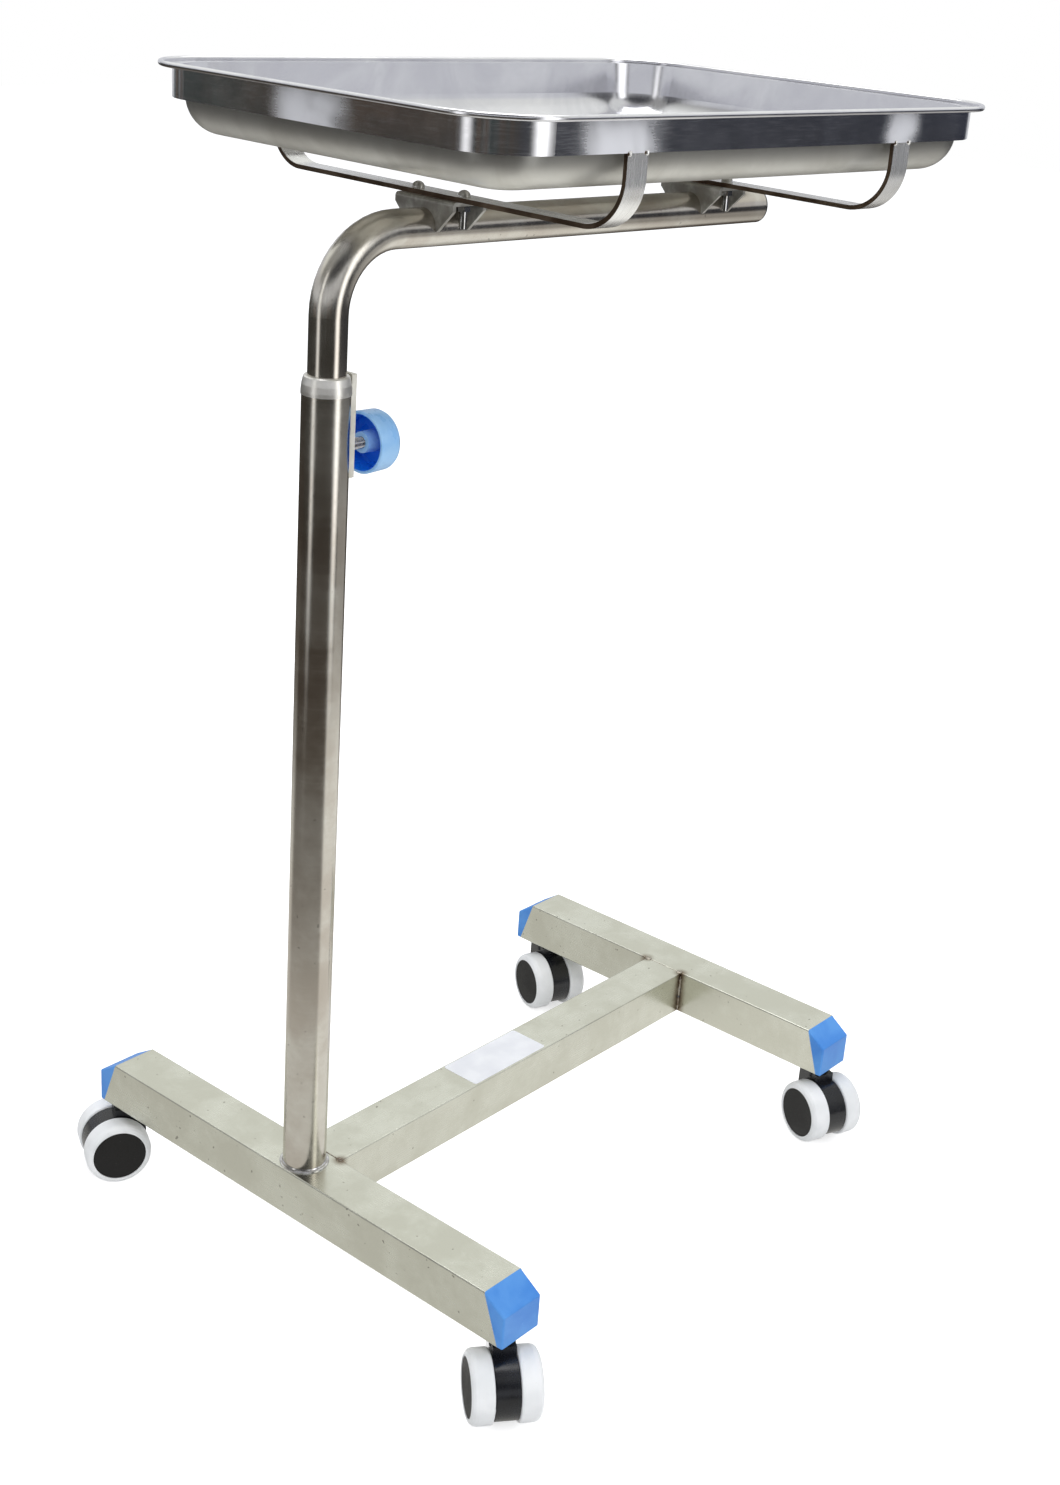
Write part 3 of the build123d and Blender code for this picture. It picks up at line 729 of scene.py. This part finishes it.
def ring_of_points(middle, across, up, radius, count):
    """Points of a circle about the middle."""
    angles = [2 * math.pi * k / count for k in range(count)]
    return [middle + (across * math.cos(a) + up * math.sin(a)) * radius for a in angles]


def weld_bead(made, start, end, radius, seed, step=0.9 * MM, sides=10):
    """A rippled bead of weld: overlapping scallops laid from start to end, thin at both ends."""
    rings_per_ripple = 2.6
    ripple = 0.18
    thin_end = 0.35
    draw = random.Random(seed)
    along = end - start
    count = max(6, int(along.length / step))
    _, across, up = directions_about(along)
    rings = []
    for i in range(count + 1):
        share = i / count
        swell = 1 - ripple + ripple * abs(math.sin(share * count * math.pi / rings_per_ripple))
        taper = min(1.0, thin_end + 6 * min(share, 1 - share))
        size = radius * swell * taper * draw.uniform(0.93, 1.07)
        rings.append(ring_of_points(start + along * share, across, up, size, sides))
    bridge_rings(made, rings)


def weld_blob(made, middle, radius, flatness, seed):
    """A small lumpy tack of weld."""
    lump = 0.08
    waviness = 4
    draw = random.Random(seed)
    grown = bmesh.ops.create_icosphere(made, subdivisions=3, radius=1.0)
    waves = [Vector([draw.uniform(-1, 1) for _ in range(3)]) * waviness for _ in range(3)]
    for vertex in grown["verts"]:
        swell = 1.0 + lump * sum(math.sin(vertex.co.dot(wave)) for wave in waves)
        place = vertex.co * radius * swell
        place.z *= flatness
        vertex.co = middle + place


def frame_weld_beads(material):
    """A bead up each inner corner between the bars, and a flat tack at its top."""
    made = bmesh.new()
    half = bar_high.y
    for n, (x, inward) in enumerate(((bar_low.x, 1), (bar_high.x, -1))):
        for m, side in enumerate((-1, 1)):
            corner = Vector((x + inward * BEAD_STAND_OFF, side * (half + BEAD_STAND_OFF), 0))
            foot = corner + Vector((0, 0, bar_low.z + BEAD_FOOT))
            top = corner + Vector((0, 0, bar_high.z - BEAD_TOP))
            weld_bead(made, foot, top, BEAD_RADIUS, seed=10 * n + m)
            tack = Vector((x, side * (half - TACK_INSET), bar_high.z))
            weld_blob(made, tack, TACK_RADIUS, TACK_FLATNESS, seed=20 + 10 * n + m)
    bead = piece_from(made, "frame_weld_beads", "base", material)
    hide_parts("frame_welds")


def top_seams(material):
    """The ground-down seam across the top where the middle bar meets each cross bar."""
    made = bmesh.new()
    for n, x in enumerate((bar_low.x, bar_high.x)):
        start = Vector((x, bar_low.y + SEAM_INSET, bar_high.z - SEAM_SINK))
        end = Vector((x, bar_high.y - SEAM_INSET, bar_high.z - SEAM_SINK))
        weld_bead(made, start, end, SEAM_RADIUS, seed=40 + n, step=0.7 * MM, sides=8)
    piece_from(made, "base_top_seams", "base", material)


def strap_weld_dots(material):
    """Two small weld dots where each strap end meets the hoop, as bright as the strap."""
    made = bmesh.new()
    seed = 60
    for x in STRAP_MIDDLES:
        for side in (-1, 1):
            for along in (-1, 1):
                dot_x = x + along * (STRAP_HALF_WIDTH - DOT_INSET)
                dot_y = side * (HOOP_HALF_WIDTH - DOT_SINK)
                weld_blob(made, ARM_PLACE @ Vector((dot_x, dot_y, HOOP_BOTTOM)), DOT_RADIUS, 1.0, seed)
                seed += 1
    piece_from(made, "strap_weld_dots", "arm", material)


def screw_thread(made, axis_start, axis_end, radius, turn_steps=20):
    """A thread wound from axis_start to axis_end, which grows and fades over one turn."""
    flat_crest = 0.12
    width = 0.96
    profile = ((-0.5, THREAD_DEPTH), (-flat_crest, 0.0), (flat_crest, 0.0), (0.5, THREAD_DEPTH))
    direction, across, up = directions_about(axis_end - axis_start)
    turns = (axis_end - axis_start).length / THREAD_PITCH
    steps = int(turns * turn_steps)
    previous = None
    for i in range(steps + 1):
        angle = 2 * math.pi * i / turn_steps
        middle = axis_start + direction * (THREAD_PITCH * i / turn_steps)
        fade = min(1.0, i / turn_steps, (steps - i) / turn_steps)
        outward = across * math.cos(angle) + up * math.sin(angle)
        ring = []
        for offset, inset in profile:
            reach = radius - THREAD_DEPTH + (THREAD_DEPTH - inset) * fade
            place = middle + direction * offset * THREAD_PITCH * width + outward * reach
            ring.append(made.verts.new(place))
        if previous:
            for k in range(len(profile) - 1):
                made.faces.new((previous[k], previous[k + 1], ring[k + 1], ring[k]))
        previous = ring


def round_bar(made, axis_start, axis_end, radius, chamfer, sides=28):
    """A round bar with chamfered ends."""
    length = (axis_end - axis_start).length
    direction, across, up = directions_about(axis_end - axis_start)
    stations = (
        (0.0, radius - chamfer),
        (chamfer, radius),
        (length - chamfer, radius),
        (length, radius - chamfer),
    )
    rings = []
    for distance, size in stations:
        rings.append(ring_of_points(axis_start + direction * distance, across, up, size, sides))
    bridge_rings(made, rings)


def threaded_clamp_screw(material):
    """The clamp screw with its thread, in place of the plain bar."""
    made = bmesh.new()
    start = Vector((screw_low.x, 0, KNOB_Z))
    end = Vector((screw_high.x, 0, KNOB_Z))
    run_in = Vector((THREAD_RUN_IN, 0, 0))
    round_bar(made, start, end, SCREW_RADIUS - THREAD_DEPTH, SCREW_CHAMFER)
    screw_thread(made, start + run_in, end - run_in, SCREW_RADIUS)
    screw = piece_from(made, "threaded_clamp_screw", "knob", material)
    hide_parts("clamp_screw")


def rounded_rectangle(length, width, corner, corner_steps=6):
    """Outline in the XY plane, from the corner at +X +Y round to the left."""
    outline = []
    for quarter, (sign_x, sign_y) in enumerate(((1, 1), (-1, 1), (-1, -1), (1, -1))):
        for step in range(corner_steps + 1):
            angle = math.pi / 2 * (quarter + step / corner_steps)
            x = sign_x * (length / 2 - corner) + corner * math.cos(angle)
            y = sign_y * (width / 2 - corner) + corner * math.sin(angle)
            outline.append((x, y))
    return outline


def label_plate(material):
    """A blank label stuck on top of the middle bar."""
    middle = Vector((MAST_X + LABEL_FROM_MAST, 0, bar_high.z))
    outline = rounded_rectangle(LABEL_LENGTH, LABEL_WIDTH, LABEL_CORNER)
    rings = []
    for height, inset in ((0.0, 0.0), (LABEL_THICKNESS * 0.7, 0.0), (LABEL_THICKNESS, LABEL_EDGE)):
        shrink = 1 - inset / (LABEL_WIDTH / 2)
        rings.append([middle + Vector((x * shrink, y * shrink, height)) for x, y in outline])
    made = bmesh.new()
    bridge_rings(made, rings)
    piece_from(made, "blank_label", "base", material, smooth=False)


# Stage

# What the steel sees of the floor, to the left and to the right: (distance from the mast, red, green, blue)
FLOOR_LEFT = (
    (0.00, 0.78, 0.77, 0.73),
    (0.40, 0.70, 0.69, 0.65),
    (0.58, 0.38, 0.37, 0.35),
    (0.95, 0.115, 0.100, 0.085),
    (1.50, 0.066, 0.054, 0.044),
    (3.00, 0.050, 0.050, 0.046),
)
FLOOR_RIGHT = (
    (0.00, 0.95, 0.94, 0.90),
    (1.00, 1.05, 1.04, 1.00),
    (1.45, 0.42, 0.41, 0.39),
    (2.20, 0.48, 0.47, 0.46),
    (3.00, 0.050, 0.052, 0.060),
)
FLOOR_REACH = 3.0
FLOOR_HALF_SIZE = 8.0
FLOOR_PAPER = (0.80, 0.80, 0.80, 1)
FLOOR_GLOW = 0.62
WINDOW_STREAK = (2.6, 2.6, 2.6, 1)
WHITE = (1, 1, 1, 1)

# What the steel sees of the room
BACKDROP = (0.97, 0.98, 0.95, 1)
FAR_SIDE = (0.34, 0.34, 0.33, 1)
LOW_WALL = (0.70, 0.71, 0.74, 1)
BEHIND_CAMERA = (0.05, 0.05, 0.055, 1)
CEILING = (0.40, 0.40, 0.42, 1)
BROWN_THINGS = (0.110, 0.066, 0.042, 1)
TEAL_THINGS = (0.006, 0.040, 0.042, 1)
PALE_THINGS = (0.30, 0.30, 0.31, 1)
NAVY_THINGS = (0.040, 0.044, 0.062, 1)
EVEN_LIGHT = (0.62, 0.63, 0.65, 1)


def ramp(tree, distance, stops):
    """Colour by distance, from (distance, red, green, blue) stops."""
    made = add(tree, "ShaderNodeValToRGB", {"Fac": maths(tree, "DIVIDE", distance, FLOOR_REACH)})
    colours = made.color_ramp.elements
    while len(colours) < len(stops):
        colours.new(0.5)
    for element, (place, *colour) in zip(colours, stops):
        element.position = place / FLOOR_REACH
        element.color = (*colour, 1)
    return made.outputs["Color"]


def bearing_share(tree, ahead, aside, far, bearing, outer, inner):
    """1 within inner degrees of a bearing about the mast, 0 beyond outer.

    A bearing of 0 faces the camera, and a positive one is to its right.
    """
    angle = math.radians(bearing)
    along = maths(tree, "MULTIPLY", ahead, -math.cos(angle))
    along = maths(tree, "ADD", along, maths(tree, "MULTIPLY", aside, math.sin(angle)))
    along = maths(tree, "DIVIDE", along, far)
    return spread(tree, along, math.cos(math.radians(outer)), math.cos(math.radians(inner)))


def light_paths(tree):
    """1 where the camera sees straight or through glass, and 1 for a reflection."""
    path = add(tree, "ShaderNodeLightPath").outputs
    shown = maths(tree, "MAXIMUM", path["Is Camera Ray"], path["Is Transmission Ray"])
    return shown, path["Is Glossy Ray"]


def reflected_floor(tree):
    """The floor as the steel sees it: a lit sweep of paper, a window's streak and a darker room beyond."""
    place = object_place(tree)
    mast = Vector((MAST_X, 0, 0))
    ahead = maths(tree, "SUBTRACT", vector_maths(tree, "DOT_PRODUCT", place, BACK), mast.dot(BACK))
    aside = maths(tree, "SUBTRACT", vector_maths(tree, "DOT_PRODUCT", place, SIDE), mast.dot(SIDE))
    flat = add(tree, "ShaderNodeCombineXYZ", {"X": ahead, "Y": aside}).outputs[0]
    far = vector_maths(tree, "LENGTH", flat)
    reach_ahead = spread(tree, ahead, 0.1, 0.5, 0.0, 0.45)
    left_side = ramp(tree, maths(tree, "SUBTRACT", far, reach_ahead), FLOOR_LEFT)
    right_side = ramp(tree, far, FLOOR_RIGHT)
    turn_right = bearing_share(tree, ahead, aside, far, bearing=100, outer=52, inner=40)
    reflected = blend_colours(tree, turn_right, left_side, right_side)
    window = bearing_share(tree, ahead, aside, far, bearing=57, outer=9, inner=4)
    window = maths(tree, "MULTIPLY", window, spread(tree, far, 0.27, 0.33, 1.0, 0.0))
    return blend_colours(tree, window, reflected, WINDOW_STREAK)


def staged(name, corners):
    """A flat stage piece with a bare material, and the tree and output to fill."""
    mesh = bpy.data.meshes.new(name)
    mesh.from_pydata(corners, [], [(0, 1, 2, 3)])
    made = bpy.data.objects.new(name, mesh)
    bpy.context.scene.collection.objects.link(made)
    material, tree, shader = new_material(name)
    tree.nodes.remove(shader)
    mesh.materials.append(material)
    return made, tree, tree.nodes["Material Output"].inputs["Surface"]


def studio_floor():
    """Pale floor: white to the camera, plain paper to the lamps, and its own picture in reflections."""
    reach = FLOOR_HALF_SIZE
    corners = [(-reach, -reach, 0), (reach, -reach, 0), (reach, reach, 0), (-reach, reach, 0)]
    _, tree, output = staged("floor", corners)
    shown, glossy = light_paths(tree)
    paper = add(tree, "ShaderNodeBsdfDiffuse", {"Color": FLOOR_PAPER}).outputs[0]
    glow = add(tree, "ShaderNodeEmission", {"Color": WHITE, "Strength": FLOOR_GLOW}).outputs[0]
    seen = add(tree, "ShaderNodeAddShader", {0: paper, 1: glow}).outputs[0]
    mirrored = add(tree, "ShaderNodeEmission", {"Color": reflected_floor(tree), "Strength": 1.0}).outputs[0]
    surface = add(tree, "ShaderNodeMixShader", {0: shown, 1: paper, 2: seen}).outputs[0]
    surface = add(tree, "ShaderNodeMixShader", {0: glossy, 1: surface, 2: mirrored}).outputs[0]
    tree.links.new(surface, output)


def things_at_the_horizon(tree, direction, aside):
    """Blurred dark shapes of a room: brown and teal, some pale, and navy to the right."""
    upright = stretched(tree, direction, (1.0, 1.0, 0.3))
    things = two_tone(tree, noise(tree, upright, 9.0, 1.0, 0.4), 0.46, 0.54, BROWN_THINGS, TEAL_THINGS)
    things = two_tone(tree, noise(tree, upright, 14.0, 1.0, 0.4), 0.56, 0.68, things, PALE_THINGS)
    return two_tone(tree, aside, 0.2, 0.6, things, NAVY_THINGS)


def reflected_room(tree):
    """The room as the steel sees it, by direction."""
    direction = add(tree, "ShaderNodeTexCoord").outputs["Generated"]
    ahead = vector_maths(tree, "DOT_PRODUCT", direction, BACK)
    aside = vector_maths(tree, "DOT_PRODUCT", direction, SIDE)
    height = component(tree, direction, "Z")
    backdrop = spread(tree, ahead, -0.05, 0.25)
    right_hand = maths(tree, "MULTIPLY", spread(tree, aside, 0.1, 0.5), 0.8)
    room = blend_colours(tree, most(tree, [backdrop, right_hand]), FAR_SIDE, BACKDROP)
    room = two_tone(tree, height, 0.30, 0.38, LOW_WALL, room)
    near_horizon = spread(tree, height, 0.01, 0.05, 1.0, 0.0)
    beside_backdrop = spread(tree, ahead, 0.70, 0.85, 1.0, 0.0)
    horizon = maths(tree, "MULTIPLY", near_horizon, beside_backdrop)
    room = blend_colours(tree, horizon, room, things_at_the_horizon(tree, direction, aside))
    behind = spread(tree, ahead, -0.75, -0.5, 1.0, 0.0)
    behind_camera = maths(tree, "MULTIPLY", behind, spread(tree, height, 0.34, 0.42))
    room = blend_colours(tree, behind_camera, room, BEHIND_CAMERA)
    return two_tone(tree, height, 0.75, 0.95, room, CEILING)


def studio_world():
    """White to the camera, even and soft on the object, and a room in reflections."""
    world = bpy.data.worlds.new("studio")
    bpy.context.scene.world = world
    world.use_nodes = True
    tree = world.node_tree
    shown, glossy = light_paths(tree)
    unseen = blend_colours(tree, glossy, EVEN_LIGHT, reflected_room(tree))
    background = tree.nodes["Background"]
    tree.links.new(blend_colours(tree, shown, unseen, WHITE), background.inputs["Color"])
    background.inputs["Strength"].default_value = 1.0


def reflector(name, bearing, distance, width, top, brightness):
    """A tall white card seen only in reflections, dimmer at its sides and foot.

    A bearing of 0 is the camera's side of the mast, and a positive one is to its right.
    """
    fade_height = 0.3
    dim_foot = 0.2
    angle = math.radians(bearing)
    towards = -BACK * math.cos(angle) + SIDE * math.sin(angle)
    middle = Vector((MAST_X, 0, 0)) + towards * distance
    across = Vector((-towards.y, towards.x, 0)) * width / 2
    left = middle - across
    right = middle + across
    up = Vector((0, 0, top))
    card, tree, output = staged(name, [left, right, right + up, left + up])
    place = object_place(tree)
    from_middle = near(tree, place, middle, width / 2, (1, 1, 0))
    foot = spread(tree, component(tree, place, "Z"), 0.0, fade_height, dim_foot, 1.0)
    strength = maths(tree, "MULTIPLY", maths(tree, "MULTIPLY", from_middle, foot), brightness)
    glow = add(tree, "ShaderNodeEmission", {"Color": WHITE, "Strength": strength}).outputs[0]
    tree.links.new(glow, output)
    card.visible_camera = False
    card.visible_diffuse = False
    card.visible_shadow = False
    card.visible_transmission = False


def lamp(name, place, target, size, power, in_reflections):
    data = bpy.data.lights.new(name, "AREA")
    data.shape = "SQUARE"
    data.size = size
    data.energy = power
    light = bpy.data.objects.new(name, data)
    light.location = place
    light.rotation_mode = "QUATERNION"
    light.rotation_quaternion = (Vector(target) - Vector(place)).to_track_quat("-Z", "Y")
    light.visible_glossy = in_reflections
    bpy.context.scene.collection.objects.link(light)


def studio_camera():
    data = bpy.data.cameras.new("camera")
    data.sensor_fit = "AUTO"
    data.sensor_width = SENSOR_MM
    data.lens = FOCAL_PIXELS / FRAME_HEIGHT_PIXELS * SENSOR_MM
    data.shift_x = CENTRE_OFFSET_PIXELS[0] / FRAME_HEIGHT_PIXELS
    data.shift_y = CENTRE_OFFSET_PIXELS[1] / FRAME_HEIGHT_PIXELS
    data.clip_start = CLIP_START
    data.clip_end = CLIP_END
    forward = BACK * math.cos(CAMERA_PITCH) - Vector((0, 0, math.sin(CAMERA_PITCH)))
    level_down = forward.cross(SIDE)
    right = SIDE * math.cos(CAMERA_ROLL) + level_down * math.sin(CAMERA_ROLL)
    down = -SIDE * math.sin(CAMERA_ROLL) + level_down * math.cos(CAMERA_ROLL)
    turn = Matrix((right, -down, -forward)).transposed()
    camera = bpy.data.objects.new("camera", data)
    camera.matrix_world = Matrix.Translation(CAMERA_PLACE) @ turn.to_4x4()
    bpy.context.scene.collection.objects.link(camera)
    bpy.context.scene.camera = camera


def dress_object():
    """Finishes for the frame's nodes, and the pieces that the frame doesn't have."""
    materials = {
        "base_x": base_steel("base_steel_x", GRAIN_X),
        "base_y": base_steel("base_steel_y", GRAIN_Y),
        "mast": mast_steel("mast_steel", GRAIN_ROUND),
        "arm": mast_steel("arm_steel", GRAIN_Z),
        "strap": strap_steel(),
        "bracket": bracket_steel(),
        "hoop": hoop_steel(),
        "tray": tray_steel(),
        "collar": collar_steel(),
        "plate": plate_steel(),
        "weld": weld_steel(),
        "fastener": fastener_steel(),
        "blue": blue_plastic(),
        "knob": knob_plastic(),
        "black": black_plastic(),
        "hub": hub_plastic(),
        "tyre": white_tyre(),
        "nylon": nylon(),
        "brass": brass(),
    }
    dress_cad_nodes(materials)
    frame_weld_beads(materials["weld"])
    top_seams(materials["weld"])
    strap_weld_dots(materials["strap"])
    threaded_clamp_screw(materials["fastener"])
    label_plate(label_foil())


def set_stage():
    """Camera, floor, room, reflector cards and lamps."""
    bpy.context.scene.view_settings.view_transform = "Standard"
    studio_camera()
    studio_floor()
    studio_world()
    reflector("card_left", bearing=-52, distance=1.3, width=0.66, top=1.6, brightness=1.5)
    reflector("card_right", bearing=62, distance=1.3, width=0.95, top=1.6, brightness=2.4)
    lamp("key", (-1.4, -2.2, 2.6), target=(0, 0, 0.5), size=2.6, power=40, in_reflections=False)
    lamp("top", (0.3, 0.4, 2.9), target=(0, 0, 0.2), size=2.2, power=42, in_reflections=True)


dress_object()
set_stage()
